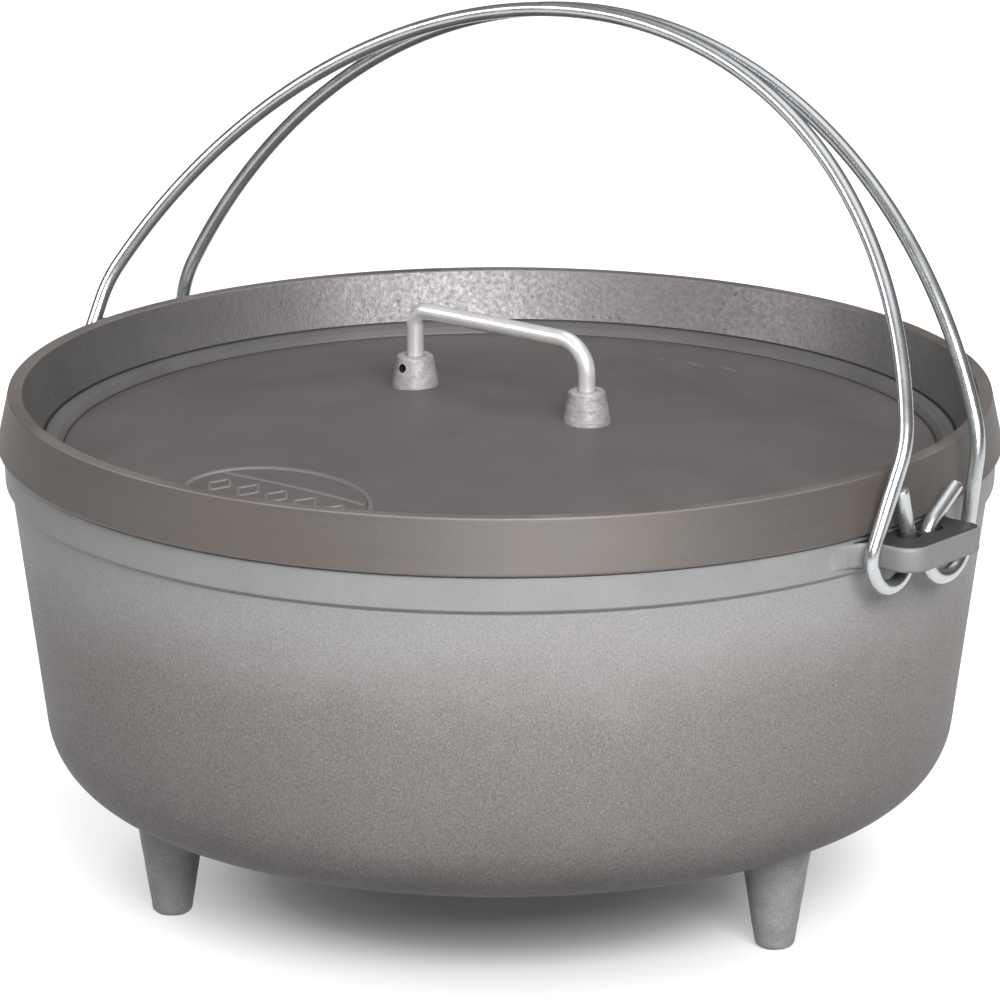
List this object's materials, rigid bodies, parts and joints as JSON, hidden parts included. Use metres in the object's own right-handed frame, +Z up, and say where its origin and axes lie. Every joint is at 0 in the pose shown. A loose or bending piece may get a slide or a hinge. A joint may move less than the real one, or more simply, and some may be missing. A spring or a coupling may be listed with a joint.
{
  "type": "camp dutch oven",
  "caption": "Round cast camp oven on short legs, with a rimmed flat-topped lid, a rod lid handle and wire bails that swing in cast side ears.",
  "frame": {"origin": "on the ground that the legs stand on, on the pot's axis", "axes": "+X along the line of the two ears, towards the ear above the leg named leg_right; +Z up; -Y is the front"},
  "size_m": [0.372, 0.338, 0.2941],
  "materials": {
    "pot_casting": "blasted and hard anodised, satin warm grey",
    "lid_casting": "hard anodised, satin dark warm grey, lighter on the rim",
    "rough_casting": "as cast, slightly pitted",
    "handle_rod": "satin drawn rod",
    "bail_wire": "bright plated steel wire"
  },
  "bodies": {
    "oven": {"pot": "pot_casting", "leg_right": "rough_casting", "leg_front_left": "rough_casting", "leg_rear": "rough_casting"},
    "lid_assembly": {"lid": "lid_casting", "lid_boss_left": "rough_casting", "lid_boss_right": "rough_casting", "lid_handle": "handle_rod", "handle_pin_left": "handle_rod", "handle_pin_right": "handle_rod"},
    "front_bail": {"bail_front": "bail_wire"},
    "rear_bail": {"bail_rear": "bail_wire"}
  },
  "joints": [
    {"name": "lid_lift", "type": "slide", "parent": "oven", "child": "lid_assembly", "axis": [0, 0, 1], "range_m": [0, 0.008]},
    {"name": "front_bail_swing", "type": "hinge", "parent": "oven", "child": "front_bail", "pos_m": [0, -0.0146, 0.1484], "axis": [1, 0, 0], "range_deg": [0, 128]},
    {"name": "rear_bail_swing", "type": "hinge", "parent": "oven", "child": "rear_bail", "pos_m": [0, 0.0153, 0.1466], "axis": [-1, 0, 0], "range_deg": [0, 45]}
  ]
}
